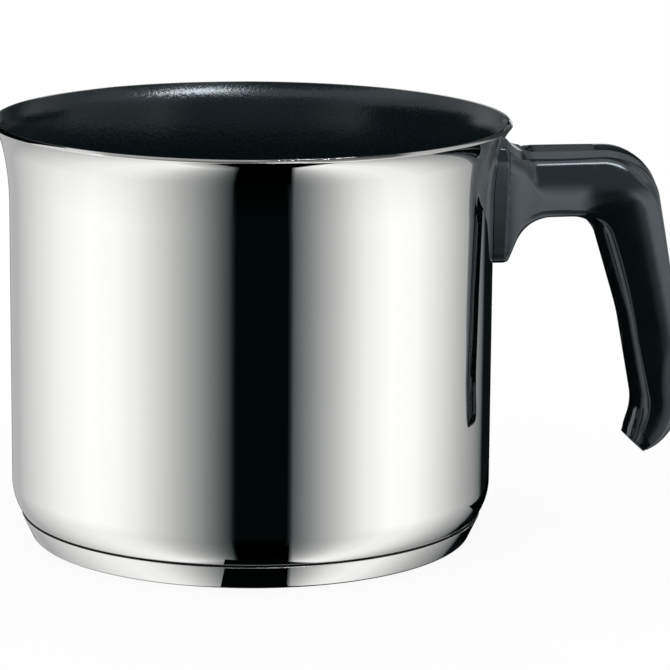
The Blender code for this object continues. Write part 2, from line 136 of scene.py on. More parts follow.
# Grey that the mirror-bright wall shows in the photograph, by azimuth in degrees from the
# camera's side, positive to the right: a white tent, open in front of a dark room
TENT_GREYS = (
    (-180, "#3c3c3c"), (-168, "#3c3c3c"), (-165, "#a3a4a4"), (-146, "#a8a9a9"),
    (-133, "#c2c3c3"), (-117, "#dbdcdc"), (-100, "#f2f2f2"), (-80, "#ffffff"),
    (-65, "#fafafa"), (-55, "#eeeeee"), (-47, "#dcdcdc"), (-39, "#c6c7c7"),
    (-32, "#afb0b0"), (-25, "#969898"), (-18, "#757879"), (-13, "#585c5c"),
    (-9, "#3a4041"), (-6.5, "#030808"), (19.3, "#030808"), (21, "#4d5354"),
    (29, "#838586"), (41, "#b8b9b9"), (48, "#d4d5d5"), (56, "#ececec"),
    (70, "#ffffff"), (85, "#fafafa"), (102, "#dadada"), (119, "#aeafaf"),
    (135, "#878888"), (143, "#62696a"), (147, "#0c0f0f"), (160, "#0c0f0f"),
)
# Greys of the tent's band that the arm mirrors, of its upper part and of its crown
ARM_GREYS = (
    (-180, "#4a4f51"), (-165, "#4a4f51"), (-140, "#c8c8c8"), (-60, "#e6e6e6"),
    (-25, "#7c8284"), (-10, "#030808"), (8, "#030808"), (16, "#5c6062"),
    (22, "#d0d2d3"), (26, "#ffffff"), (75, "#ffffff"), (95, "#cccccc"),
    (130, "#a0a0a0"), (150, "#808486"), (165, "#4a4f51"),
)
UPPER_GREYS = (
    (-180, "#4a4f51"), (-165, "#4a4f51"), (-140, "#c8c8c8"), (-60, "#e6e6e6"),
    (-25, "#7c8284"), (37, "#7c8284"), (47, "#e0e0e0"), (60, "#b8b8b8"),
    (110, "#b0b0b0"), (138, "#a8a8a8"), (146, "#303232"), (156, "#303232"),
    (165, "#4a4f51"),
)
CROWN_GREYS = (
    (-180, "#a8a8a8"), (-150, "#909090"), (-120, "#a3a3a3"), (-80, "#828282"),
    (-50, "#5a5a5a"), (0, "#565656"), (20, "#767676"), (50, "#9a9a9a"),
    (75, "#909090"), (120, "#4c4c4c"), (142, "#2c2c2c"), (154, "#8a8a8a"),
    (166, "#a8a8a8"),
)
# Elevations in degrees between which each of these takes over from the one below
ARM_START = (-9.4, -8.9)
UPPER_START = (-2.0, 8.0)
CROWN_START = (52.0, 57.0)

# The dark opening in front, in parts of a unit direction from the tent's centre. Its middle lies
# this far right and slants with the part toward the front. Its half width is the larger of two
# lines over that part, as (slope, start). Its edges are soft beside it, behind it and above it
OPENING_MIDDLE, OPENING_SLANT = 0.0615, -0.0525
OPENING_WIDTH = (0.1175, 0.1085)
OPENING_FLARE = (-0.5, 0.235)
OPENING_EDGE = (-0.012, 0.016)
OPENING_BACK = (0.06, 0.12)
OPENING_TOP = (-0.60, -0.30)
# Where the table's edge darkens the tent's foot and where the pan's shadow lies, in parts of the
# same direction, with the shares of the glow that they leave
FOOT_HEIGHTS, FOOT_GLOW = (-0.50, -0.25), 0.88
SHADOW_HEIGHTS, SHADOW_GLOW = (-0.99, -0.95), 0.25

# Facets along both sides of a curved card, and its distance as a share of the tent's radius
CARD_STEPS = 24
CARD_DISTANCE = 0.95
# Cards and softboxes that the handle and the lining mirror: name, azimuths and elevations in
# degrees, and strength
CARDS = (
    ("strip_softbox", (5.0, 38.0), (43.0, 49.5), 9.0),
    ("left_overhead_card", (-105.0, 4.0), (38.0, 54.0), 1.6),
    ("right_overhead_card", (58.0, 100.0), (30.0, 52.0), 1.0),
    ("deck_card", (18.0, 60.0), (51.5, 78.0), 1.15),
    ("back_white_card", (165.0, 197.0), (-6.0, 4.0), 0.75),
)
# Grey and strength of a black card
BLACK = ("#030505", 1.0)
# Flat cards close to the pan: name, low and high corner, grey and strength
NEAR_CARDS = (
    ("lining_softbox", (0.010, -0.004, 0.207), (0.046, 0.016, 0.207), "#ffffff", 42.0),
    ("black_card_behind", (-0.070, 0.0, 0.0004), (0.095, 0.198, 0.0004), *BLACK),
    ("black_card_standing", (-0.060, 0.200, 0.0), (0.075, 0.200, 0.110), *BLACK),
    ("black_card_at_foot", (-0.0068, -0.0725, 0.0004), (0.0122, -0.050, 0.0004), *BLACK),
    ("black_card_right", (0.056, -0.018, 0.0004), (0.072, 0.030, 0.0004), *BLACK),
    ("black_card_by_rim", (0.088, 0.080, 0.136), (0.088, 0.240, 0.170), *BLACK),
    ("black_card_by_lip", (-0.090, -0.020, 0.1255), (-0.090, 0.160, 0.180), *BLACK),
)


def linear(text):
    """An sRGB hex colour as linear red, green and blue."""
    levels = [int(text[place : place + 2], 16) / 255 for place in (1, 3, 5)]
    return tuple(
        level / 12.92 if level <= 0.04045 else ((level + 0.055) / 1.055) ** 2.4 for level in levels
    )


def length(name, description, default):
    """A size in metres that a user can change."""
    return bpy.props.FloatProperty(
        name=name, description=description, default=default, unit="LENGTH"
    )


def angle(name, description, degrees):
    """An angle that a user can change."""
    return bpy.props.FloatProperty(
        name=name, description=description, default=math.radians(degrees), subtype="ANGLE"
    )


def number(name, description, default):
    """A share, slope or strength that a user can change."""
    return bpy.props.FloatProperty(name=name, description=description, default=default)


def colour(name, description, default):
    """A colour that a user can change, with an sRGB hex default."""
    return bpy.props.FloatVectorProperty(
        name=name, description=description, default=linear(default), subtype="COLOR"
    )


def group(kind, name, description):
    """A group of properties."""
    return bpy.props.PointerProperty(type=kind, name=name, description=description)


class VesselSizes(bpy.types.PropertyGroup):
    """Sizes of the drawn steel vessel and its lining."""

    wall_radius: length("Wall radius", "Outer radius of the upright wall", 0.0710)
    height: length("Height", "Height of the outer edge of the lip above the table", 0.1234)
    steel_thickness: length("Steel thickness", "Thickness of the drawn steel", 0.0012)
    lining_thickness: length("Lining thickness", "Thickness of the non-stick lining", 0.0004)
    lining_gap: length("Lining gap", "Clearance between the steel and the lining", 0.0003)
    lining_setback: length(
        "Lining setback", "How far the lining stops short of the lip's edge", 0.00056
    )
    body_lift: length("Body lift", "Height of the vessel's own underside above the table", 0.0036)
    corner_radius: length(
        "Corner radius", "Radius where the wall turns in towards the base", 0.0160
    )
    corner_turn: angle("Corner turn", "How far the wall turns in before the tighter heel", 38.6)
    heel_radius: length("Heel radius", "Radius where the corner runs into the underside", 0.0090)
    flare_radius: length("Flare radius", "Radius of the gentle flare below the lip", 0.0800)
    flare_turn: angle("Flare turn", "How far the flare leans out", 12.7)
    lip_radius: length("Lip radius", "Radius of the pouring lip", 0.0146)
    lip_turn: angle("Lip turn", "How far the lip leans out beyond the flare", 28.9)
    edge_rounding: length("Edge rounding", "Rounding along both sides of the polished rim", 0.00006)


class CapsuleSizes(bpy.types.PropertyGroup):
    """Sizes of the steel capsule under the vessel."""

    edge_radius: length("Edge radius", "Outer radius of the capsule's top edge", CAP_HIGH.x)
    height: length("Height", "Height of the capsule's top edge", 0.0070)
    thickness: length("Thickness", "Thickness of the capsule's steel", 0.0005)
    taper: length("Taper", "How far the capsule's side leans in towards the table", 0.0028)
    foot_rounding: length("Foot rounding", "Radius where the side turns into the underside", 0.0014)
    # The joint's line of braze is a dark ring that also stands in for the shadow in the gap:
    # painted shade
    joint_width: length(
        "Joint width", "Width of the line of braze over the capsule's top edge", 0.0004
    )
    joint_sink: length(
        "Joint sink", "How far the line of braze lies inside the capsule's edge", 0.00012
    )
    groove_width: length("Groove width", "Width of the rings rolled into the underside", 0.0016)
    groove_depth: length("Groove depth", "Depth of the rings rolled into the underside", 0.0002)


class HandleSizes(bpy.types.PropertyGroup):
    """Sizes of the moulded handle. Reaches are measured out from the wall."""

    seat_sink: length(
        "Seat sink", "How far the handle's blank starts inside the wall's line", 0.0020
    )
    arm_drop: length("Arm drop", "How far the arm's top lies below the rim", 0.0094)
    arm_thickness: length("Arm thickness", "Height of the arm", 0.0198)
    crest_reach: length("Crest reach", "Reach of the crest under the rim", 0.0029)
    crest_rise: length("Crest rise", "How far the crest rises above the arm's top", 0.0044)
    ramp_run: length("Ramp run", "Length of the ramp from the crest down to the arm", 0.0037)
    foot_thickness: length("Foot thickness", "How far the foot stands off the wall", 0.0040)
    foot_length: length("Foot length", "How far the foot reaches below the arm", 0.0130)
    throat_run: length(
        "Throat run", "How far the throat leans out from the foot to the arm", 0.0057
    )
    knuckle_reach: length(
        "Knuckle reach", "Reach of the corner between the arm and the grip", 0.0484
    )
    crook_thickness: length(
        "Crook thickness", "How far the inner corner lies inside the outer one", 0.0176
    )
    palm_length: length("Palm length", "How far the palm's bend lies below the arm's top", 0.059946)
    palm_lean: length("Palm lean", "How far the grip leans out down to the palm's bend", 0.01057)
    finger_rise: length(
        "Finger rise", "How far the finger side's bend lies above the palm's bend", 0.0095
    )
    grip_thickness: length("Grip thickness", "Thickness of the grip at its middle", 0.0187)
    tail_length: length("Tail length", "Length of the grip below the palm's bend", 0.0272)
    tail_lean: length("Tail lean", "How far the tail leans out below the palm's bend", 0.0003)
    hook_rise: length("Hook rise", "How far the hook's bend lies above the tail's bend", 0.0081)
    hook_thickness: length("Hook thickness", "Thickness of the grip at the hook", 0.0137)
    tip_fall: length("Tip fall", "How far the tip lies below the tail's bend", 0.0055)
    tip_inset: length("Tip inset", "How far the tip turns back towards the pan", 0.0115)
    beak_rise: length("Beak rise", "How far the beak lies above the tip", 0.0047)
    beak_thickness: length("Beak thickness", "How far the beak lies inside the tip", 0.0051)
    pad_half_width: length(
        "Pad half width", "Half the width of the pad against the wall", HANDLE_HIGH.y
    )
    waist_half_width: length("Waist half width", "Half the width of the arm at its waist", 0.0094)
    grip_half_width: length("Grip half width", "Half the width of the grip", 0.0103)
    finger_half_width: length(
        "Finger half width", "Half the width of the grip's finger side", 0.0082
    )
    tail_half_width: length("Tail half width", "Half the width of the tip", 0.0092)
    draft: length("Draft", "How much the arm's side gains in width down to its underside", 0.0003)
    facet_reach: length(
        "Facet reach", "How far the pad's side facet stands off the wall at its foot", 0.0026
    )
    facet_lean: length(
        "Facet lean", "How much further the facet stands off the wall at its head", 0.0010
    )
    facet_chamfer: length("Facet chamfer", "Chamfer along the facet's edge", 0.0007)
    waist_slope: number(
        "Waist slope", "How much the arm narrows from the web to the crook, as a slope", 0.025
    )
    facet_turn: number(
        "Facet turn", "How much the facet narrows towards the wall, as a slope", 0.018
    )
    facet_drop: length("Facet drop", "How far the facet's head lies below the arm's top", 0.0022)
    facet_step: length("Facet step", "How far the pad is stepped in above the facet", 0.0003)
    web_run: length("Web run", "Length over which the pad narrows into the arm", 0.0085)
    swell_run: length(
        "Swell run", "How far before the crook the arm starts to widen into the grip", 0.0025
    )
    swell_lean: number(
        "Swell lean", "How much earlier the arm widens towards its underside, as a slope", 0.5
    )
    deck_half_width: length(
        "Deck half width", "Half the width of the raised deck on the arm", 0.0048
    )
    deck_depth: length("Deck depth", "Height of the raised deck above the shoulder", 0.0027)
    shoulder_width: length("Shoulder width", "Width of the arm's rounded shoulder", 0.0040)
    shoulder_depth: length("Shoulder depth", "Height of the arm's rounded shoulder", 0.0130)
    pad_shoulder_width: length(
        "Pad shoulder width", "Width of the rounded shoulder over the pad", 0.0014
    )
    pad_shoulder_depth: length(
        "Pad shoulder depth", "Height of the rounded shoulder over the pad", 0.0058
    )
    deck_rise: length("Deck rise", "How far the deck's middle lies above the arm's top", 0.0005)
    deck_crown: length("Deck crown", "How far the deck's edge lies below the arm's top", 0.0007)
    swell_depth: length(
        "Swell depth", "Depth below the arm's top at which the widening starts to lean", 0.0080
    )
    bead_depth: length("Bead depth", "How far the parting bead lies below the arm's top", 0.0064)
    bead_height: length(
        "Bead height", "How far the parting bead stands proud of the shoulder", 0.00007
    )
    bead_width: length("Bead width", "Half the width of the parting bead", 0.00022)
    belly_width: length("Belly width", "Width of the rounding under the arm", 0.0020)
    belly_depth: length("Belly depth", "Height of the rounding under the arm", 0.0024)
    finger_flat: length(
        "Finger flat", "Half the width of the flat on the grip's finger side", 0.0016
    )
    bevel_depth: length(
        "Bevel depth", "How far the rounded bevel reaches from the finger side", 0.0038
    )
    bevel_slope: number("Bevel slope", "How steeply the rounded bevel meets the grip's side", 0.38)
    palm_flat: length("Palm flat", "Half the width of the flat on the grip's palm side", 0.0032)
    palm_share: number(
        "Palm share", "Share of the grip's thickness that its round back takes up", 0.31
    )
    palm_edge_slope: number(
        "Palm edge slope",
        "How steeply the grip's round back meets the slim chamfer beside it",
        0.30,
    )
    palm_chamfer: length(
        "Palm chamfer", "Length of the slim chamfer beside the grip's round back", 0.0020
    )
    palm_chamfer_slope: number("Palm chamfer slope", "How steep the slim chamfer is", 0.13)
    palm_fade: length(
        "Palm fade", "Length over which the slim chamfer fades into the grip's side", 0.0020
    )
    plate_thickness: length(
        "Plate thickness", "Thickness of the bracket's plate against the vessel", 0.0012
    )
    shank_radius: length("Shank radius", "Radius of the screw's shank", 0.0020)
    tip_rounding: length("Tip rounding", "Rounding round the grip's end face", 0.0007)
    tail_share: number(
        "Tail share", "Share of the tail's thickness that its round back takes up", 0.55
    )


class Finishes(bpy.types.PropertyGroup):
    """Colours of the pan's materials."""

    steel: colour("Steel", "Colour of the mirror-polished stainless steel", "#dededc")
    lining: colour("Lining", "Colour of the non-stick lining", "#10191c")
    flake: colour("Flake", "Colour of the mica flakes in the lining", "#5c6664")
    moulding: colour("Moulding", "Colour of the phenolic moulding", "#070c0e")
    sheen: colour("Sheen", "Tint of the phenolic moulding's reflections", "#dfeaf4")
    aluminium: colour("Aluminium", "Colour of the rolled aluminium disc", "#dcdddf")
    bracket: colour("Bracket", "Colour of the pressed steel bracket", "#bcbbb8")
    # Dark ring in the joint: a braze line, its darkness a painted shadow of the gap between vessel
    # and capsule
    shaded_braze: colour("Braze", "Colour of the oxidised braze in the joint", "#15181a")
    zinc: colour("Zinc", "Colour of the zinc plate on the screw and its washer", "#c6c9cf")


class Studio(bpy.types.PropertyGroup):
    """The studio round the pan."""

    floor_size: length("Floor size", "Side of the square floor", 6.0)
    floor_whiteness: number(
        "Floor whiteness", "How far the floor blends into the white background", 0.88
    )
    tent_radius: length(
        "Tent radius", "Radius of the light tent that polished surfaces mirror", 3.0
    )
    tent_height: length("Tent height", "Height of the light tent's centre", 0.06)
    tent_strength: number("Tent strength", "Brightness of the white parts of the light tent", 1.38)
    handle_azimuth: angle(
        "Handle azimuth", "How far the handle is turned from the photograph's right-hand side", -9.5
    )


class MilkPanSettings(bpy.types.PropertyGroup):
    """Everything about the milk pan that a user can set."""

    vessel: group(VesselSizes, "Vessel", "Vessel and lining sizes")
    capsule: group(CapsuleSizes, "Capsule", "Base and joint sizes")
    handle: group(HandleSizes, "Handle", "Handle sizes")
    finishes: group(Finishes, "Finishes", "Colours")
    studio: group(Studio, "Studio", "Studio settings")


def even(start, end, steps):
    """Evenly spaced values from start to end."""
    return [start + (end - start) * step / steps for step in range(steps + 1)]


def bent(path, heading, radius, turn, steps):
    """A path carried on round an arc from a heading, to the right where the turn is negative."""
    side = math.copysign(radius, turn)
    reach = path[-1][0] - side * math.sin(heading)
    height = path[-1][1] + side * math.cos(heading)
    headings = even(heading, heading + turn, steps)[1:]
    return path + [(reach + side * math.sin(a), height - side * math.cos(a)) for a in headings]


def offset_path(points, distance):
    """The path moved to its left by distance, each point along the bisector of its two runs."""
    spots = [Vector(point) for point in points]
    runs = [(after - before).normalized() for before, after in zip(spots, spots[1:])]
    moved = []
    for spot, into, out in zip(spots, runs[:1] + runs, runs + runs[-1:]):
        tangent = (into + out).normalized()
        left = Vector((-tangent.y, tangent.x))
        place = spot + left * (distance / into.dot(tangent))
        moved.append((max(place.x, 0.0), place.y))
    return moved


def add_object(name, build):
    """The bmesh as an object in the scene."""
    mesh = bpy.data.meshes.new(name)
    build.to_mesh(mesh)
    build.free()
    piece = bpy.data.objects.new(name, mesh)
    bpy.context.scene.collection.objects.link(piece)
    return piece


def finish_piece(name, build, finish):
    """Close the mesh, shade its round faces smooth and let it ride on the pan."""
    bmesh.ops.recalc_face_normals(build, faces=build.faces)
    piece = add_object(name, build)
    piece.data.shade_smooth()
    piece.data.set_sharp_from_angle(angle=math.radians(SHARP_FROM))
    piece.data.materials.append(finish)
    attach(piece, "root")
    return piece


def lathe(profile):
    """Turn a profile that starts and ends on the Z axis into one closed mesh."""
    build = bmesh.new()
    corners = [build.verts.new((reach, 0.0, height)) for reach, height in profile]
    edges = [build.edges.new(pair) for pair in zip(corners, corners[1:])]
    bmesh.ops.spin(
        build,
        geom=corners + edges,
        cent=(0.0, 0.0, 0.0),
        axis=(0.0, 0.0, 1.0),
        angle=math.tau,
        steps=TURN_STEPS,
        use_merge=True,
    )
    bmesh.ops.remove_doubles(build, verts=build.verts, dist=MERGE_DISTANCE)
    return build


def skin(build, rows, around=True):
    """Faces between rows of corners, also from each row's last corner back to its first."""
    for low, high in zip(rows, rows[1:]):
        for index in range(len(low) if around else len(low) - 1):
            following = (index + 1) % len(low)
            build.faces.new((low[index], low[following], high[following], high[index]))


def turned_ring(section):
    """Turn a closed section into a ring round the Z axis."""
    build = bmesh.new()
    rows = []
    for turn in even(0.0, math.tau, TURN_STEPS)[:-1]:
        ring = [(reach * math.cos(turn), reach * math.sin(turn), z) for reach, z in section]
        rows.append([build.verts.new(spot) for spot in ring])
    skin(build, rows + rows[:1])
    return build


def reach_at(outline, height):
    """How far an outline reaches out at a height."""
    for (near, low), (far, high) in zip(outline[1:], outline[2:]):
        if low <= height <= high:
            return near + (far - near) * (height - low) / (high - low)
    raise ValueError("the outline doesn't pass that height")


def loft(rings):
    """Skin closed rings of equal length into one capped mesh."""
    build = bmesh.new()
    loops = [[build.verts.new(point) for point in ring] for ring in rings]
    skin(build, loops)
    build.faces.new(loops[0][::-1])
    build.faces.new(loops[-1])
    return build


def vessel_outline(sizes):
    """The vessel's outer side from the axis at the bottom up to the edge of the lip."""
    upright = math.pi / 2
    heel_turn = upright - sizes.corner_turn
    flare_end = upright - sizes.flare_turn
    corner_run = sizes.heel_radius * math.cos(sizes.corner_turn) + sizes.corner_radius * (
        1.0 - math.cos(sizes.corner_turn)
    )
    flare_rise = sizes.flare_radius * math.sin(sizes.flare_turn)
    lip_rise = sizes.lip_radius * (
        math.sin(sizes.flare_turn + sizes.lip_turn) - math.sin(sizes.flare_turn)
    )
    path = [(0.0, sizes.body_lift), (sizes.wall_radius - corner_run, sizes.body_lift)]
    path = bent(path, 0.0, sizes.heel_radius, heel_turn, OUTLINE_STEPS)
    path = bent(path, heel_turn, sizes.corner_radius, sizes.corner_turn, OUTLINE_STEPS)
    path.append((sizes.wall_radius, sizes.height - lip_rise - flare_rise))
    path = bent(path, upright, sizes.flare_radius, -sizes.flare_turn, OUTLINE_STEPS)
    return bent(path, flare_end, sizes.lip_radius, -sizes.lip_turn, OUTLINE_STEPS)


def shortened(path, distance):
    """The path with its end taken back by a length measured along it."""
    points = [Vector(point) for point in path]
    while (points[-1] - points[-2]).length <= distance:
        distance -= (points[-1] - points[-2]).length
        points.pop()
    points[-1] += (points[-2] - points[-1]).normalized() * distance
    return [tuple(point) for point in points]


def rounded_edge(inner_end, outer_end, rounding):
    """Points over a sheet's cut edge with both of its corners rounded, inner side first."""
    inner, outer = Vector(inner_end), Vector(outer_end)
    across = (outer - inner).normalized()
    up = Vector((-across.y, across.x))
    turns = even(0.0, math.pi / 2, EDGE_STEPS)
    steps = [(rounding * (1.0 - math.cos(a)), rounding * (math.sin(a) - 1.0)) for a in turns]
    points = [inner + across * run + up * rise for run, rise in steps]
    points += [outer - across * run + up * rise for run, rise in reversed(steps)]
    return [tuple(point) for point in points]


def shell_profile(outer, thickness, rounding):
    """A closed shell's turned profile: up the inner side, over the edge, down the outer side."""
    inner = offset_path(outer, thickness)
    return inner[:-1] + rounded_edge(inner[-1], outer[-1], rounding) + outer[-2::-1]


def capsule_outline(sizes, grooved):
    """The capsule's outer side from the axis on the underside up to its top edge."""
    foot = sizes.edge_radius - sizes.taper
    path = [(0.0, 0.0)]
    for share in GROOVE_RADIUS_SHARES if grooved else ():
        for along in even(-1.0, 1.0, GROOVE_STEPS):
            depth = sizes.groove_depth * (1.0 - along * along)
            path.append((foot * share + sizes.groove_width / 2 * along, depth))
    side = math.pi / 2 - math.atan2(sizes.taper, sizes.height - sizes.foot_rounding)
    path.append((foot - sizes.foot_rounding, 0.0))
    path = bent(path, 0.0, sizes.foot_rounding, side, FOOT_STEPS)
    return path + [(sizes.edge_radius, sizes.height)]


def handle_corners(vessel, sizes):
    """The finger side and the palm side of the handle, as lists of (reach, height) corners."""
    arm_top = vessel.height - sizes.arm_drop
    underside = arm_top - sizes.arm_thickness
    seat = vessel.wall_radius - sizes.seat_sink
    foot = vessel.wall_radius + sizes.foot_thickness
    foot_bottom = underside - sizes.foot_length
    crest = vessel.wall_radius + sizes.crest_reach
    crest_top = arm_top + sizes.crest_rise
    knuckle = vessel.wall_radius + sizes.knuckle_reach
    palm = knuckle + sizes.palm_lean
    palm_height = arm_top - sizes.palm_length
    tail = palm + sizes.tail_lean
    tail_height = palm_height - sizes.tail_length
    tip = tail - sizes.tip_inset
    tip_height = tail_height - sizes.tip_fall
    inner = [
        (seat, foot_bottom),
        (foot, foot_bottom),
        (foot + sizes.throat_run, underside),
        (knuckle - sizes.crook_thickness, underside),
        (palm - sizes.grip_thickness, palm_height + sizes.finger_rise),
        (tail - sizes.hook_thickness, tail_height + sizes.hook_rise),
        (tip - sizes.beak_thickness, tip_height + sizes.beak_rise),
    ]
    outer = [
        (seat, crest_top + SEAT_RISE),
        (crest, crest_top),
        (crest + sizes.ramp_run, arm_top),
        (knuckle, arm_top),
        (palm, palm_height),
        (tail, tail_height),
        (tip, tip_height),
    ]
    return inner, outer


def rounded_path(corners, shares):
    """A side-view curve with its bends rounded, as (station, reach, height)."""
    spots = [Vector(corner) for corner in corners]
    points = [(0.0, *spots[0])]
    last = spots[0]
    for k in range(1, len(corners) - 1):
        into = (spots[k] - spots[k - 1]).normalized()
        out = (spots[k + 1] - spots[k]).normalized()
        shorter = min((spots[k] - spots[k - 1]).length, (spots[k + 1] - spots[k]).length)
        tangent = shorter * shares[k - 1]
        half_turn = into.angle(out) / 2
        start = spots[k] - into * tangent
        centre = spots[k] + (out - into).normalized() * (tangent / math.sin(half_turn))
        station = k - 1 + HALF_BEND if k > 1 else 0.0
        points += run_points(last, start, station, k - HALF_BEND, RUN_STEPS[k - 1])
        points += bend_points(centre, start, into, out, k, BEND_STEPS[k - 1])
        last = spots[k] + out * tangent
    end = len(corners) - 1
    points += run_points(last, spots[-1], end - 1 + HALF_BEND, end, RUN_STEPS[end - 1])
    points.append((float(end), *spots[-1]))
    return points


def run_points(start, end, first, final, steps):
    """Stations inside a straight run."""
    shares = even(0.0, 1.0, steps)[1:-1]
    return [(first + (final - first) * share, *start.lerp(end, share)) for share in shares]


def bend_points(centre, start, into, out, k, steps):
    """Stations round a bend, from its start to its end."""
    turn = math.atan2(into.x * out.y - into.y * out.x, into.dot(out))
    points = []
    for share in even(0.0, 1.0, steps):
        spot = centre + Matrix.Rotation(turn * share, 2) @ (start - centre)
        points.append((k + HALF_BEND * (2 * share - 1), *spot))
    return points


def ease(share):
    """A share that starts and ends gently."""
    share = min(max(share, 0.0), 1.0)
    return share * share * (3.0 - 2.0 * share)


def blend(knots, place):
    """Gentle interpolation between (place, value) knots."""
    if place <= knots[0][0]:
        return knots[0][1]
    for (start, low), (end, high) in zip(knots, knots[1:]):
        if place <= end:
            return low + (high - low) * ease((place - start) / (end - start))
    return knots[-1][1]


def mix(first, second, share):
    """Points part of the way from those of one list to those of another."""
    return [(a + (c - a) * share, b + (d - b) * share) for (a, b), (c, d) in zip(first, second)]


def quarter(flat, half, depth, steps):
    """A rounded corner as (across, depth) points, from the flat to the side."""
    turns = even(0.0, math.pi / 2, steps)
    return [(flat + (half - flat) * math.sin(a), depth * (1.0 - math.cos(a))) for a in turns]


def closing_arc(flat, edge, depth, slope, steps):
    """A rounded corner from a flat to a side that it meets at the given slope."""
    run = edge - flat
    turn = 2.0 * math.atan(math.sqrt(1.0 - 2.0 * slope * depth / run))
    wide = run / math.sin(turn)
    deep = depth / (1.0 - math.cos(turn))
    turns = even(0.0, turn, steps)
    return [(flat + wide * math.sin(a), deep * (1.0 - math.cos(a))) for a in turns]


def palm_back(sizes, half, depth):
    """The grip's round back, closed by a slim chamfer that fades into its side."""
    slope = sizes.palm_chamfer_slope
    shrink = min(1.0, depth * CHAMFER_LIMIT / (sizes.palm_chamfer + sizes.palm_fade))
    chamfer, fade = sizes.palm_chamfer * shrink, sizes.palm_fade * shrink
    edge = half - slope * (chamfer + fade / 2)
    round_depth = depth - chamfer - fade
    points = closing_arc(
        sizes.palm_flat, edge, round_depth, sizes.palm_edge_slope, SHOULDER_STEPS - FADE_STEPS
    )
    # Two more steps than the arc leaves out, to match the deck's two corners
    for along in even(0.0, chamfer + fade, FADE_STEPS + 2)[1:]:
        past = max(along - chamfer, 0.0)
        points.append((edge + slope * (along - past * past / (2.0 * fade)), round_depth + along))
    return points


def palm_corner(sizes, half, station, span):
    """The raised deck of the arm, with its shoulder, fading into the round back of the grip."""
    arm = blend(((THROAT, 0.0), (DECK_FULL, 1.0)), station)
    shoulder_width = sizes.pad_shoulder_width * (1.0 - arm) + sizes.shoulder_width * arm
    shoulder_depth = sizes.pad_shoulder_depth * (1.0 - arm) + sizes.shoulder_depth * arm
    shoulder = half - shoulder_width
    deck = blend(((DECK_START, shoulder), (DECK_FULL, sizes.deck_half_width)), station)
    crown = blend(((DECK_START, 0.0), (DECK_FULL, sizes.deck_crown)), station)
    rise = blend(((DECK_START, 0.0), (DECK_FULL, sizes.deck_rise)), station)
    bead = blend(BEAD_SHARES, station) * sizes.bead_height
    stepped = [(deck * DECK_MIDDLE_SHARE, -rise), (deck, crown)]
    for across, down in quarter(shoulder, half, shoulder_depth, SHOULDER_STEPS):
        depth = down + sizes.deck_depth
        off = (depth - sizes.bead_depth) / sizes.bead_width
        stepped.append((across + bead * math.exp(-off * off), depth))
    share = blend(((PALM, sizes.palm_share), (TAIL - HALF_BEND, sizes.tail_share)), station)
    rounded = palm_back(sizes, half, span * share)
    return mix(stepped, rounded, blend(((DECK_FADE, 0.0), (KNUCKLE + HALF_BEND, 1.0)), station))


def finger_corner(sizes, half, station, span):
    """The rounded underside of the arm, turning into the bevelled finger side of the grip."""
    belly = quarter(half - sizes.belly_width, half, sizes.belly_depth, FINGER_STEPS)
    bevel = closing_arc(sizes.finger_flat, half, sizes.bevel_depth, sizes.bevel_slope, FINGER_STEPS)
    share = blend(((KNUCKLE - HALF_BEND, 0.0), (KNUCKLE + HALF_BEND, 1.0)), station)
    shrink = min(1.0, span * BEVEL_LIMIT / sizes.bevel_depth)
    return [(across, depth * shrink) for across, depth in mix(belly, bevel, share)]


def pad_half_width(vessel, sizes, spot):
    """Half the pad's width: a long facet, stepped in at its head and chamfered to the web."""
    arm_top = vessel.height - sizes.arm_drop
    head = arm_top - sizes.facet_drop
    foot = arm_top - sizes.arm_thickness - sizes.foot_length
    height_share = (spot.y - foot) / (head - foot)
    edge = sizes.facet_reach + sizes.facet_lean * height_share
    past = spot.x - vessel.wall_radius - edge
    step = sizes.facet_step * ease((spot.y - head) / (FACET_STEP_RUN * sizes.facet_step))
    chamfer = sizes.facet_chamfer * ease(past / sizes.facet_chamfer)
    turned = sizes.facet_turn * min(past, 0.0)
    return sizes.pad_half_width - step - chamfer + turned, past


def side_half_width(vessel, sizes, station, spot, depth, span):
    """Half the width at a spot of the side view: pad, waisted arm and wider grip."""
    pad, past = pad_half_width(vessel, sizes, spot)
    arm_top = vessel.height - sizes.arm_drop
    drafted = sizes.waist_half_width + sizes.draft * (
        (arm_top - spot.y) / sizes.arm_thickness - 1.0
    )
    drafted -= sizes.waist_slope * max(past - sizes.web_run, 0.0)
    web = blend(((sizes.facet_chamfer, pad), (sizes.web_run, drafted)), past)
    reach = spot.x - vessel.wall_radius
    low = max(arm_top - sizes.swell_depth - spot.y, 0.0)
    swell = sizes.knuckle_reach - sizes.crook_thickness - sizes.swell_run - sizes.swell_lean * low
    arm = blend(((swell, web), (sizes.knuckle_reach, sizes.grip_half_width)), reach)
    palm = blend(((TAIL, sizes.grip_half_width), (TIP, sizes.tail_half_width)), station)
    short_of = max(1.0 - depth / (span * GRIP_WIDENING), 0.0)
    grip = palm - (sizes.grip_half_width - sizes.finger_half_width) * short_of * short_of
    return blend(((KNUCKLE - HALF_BEND, arm), (KNUCKLE + HALF_BEND, grip)), station)


def handle_ring(vessel, sizes, inner, outer, station):
    """One closed cross-section between a point of the inner and of the outer curve."""
    span = (outer - inner).length
    across_depth = (outer - inner) / span
    half = sizes.grip_half_width
    fingers = finger_corner(sizes, half, station, span)
    palm = [(across, span - depth) for across, depth in palm_corner(sizes, half, station, span)]
    flank = [(half, z) for z in even(fingers[-1][1], palm[-1][1], FLANK_STEPS)[1:-1]]
    near, far = [], []
    for across, depth in fingers + flank + palm[::-1]:
        spot = inner + across_depth * depth
        width = across / half * side_half_width(vessel, sizes, station, spot, depth, span)
        near.append((spot.x, -width, spot.y))
        far.append((spot.x, width, spot.y))
    return near + far[::-1]


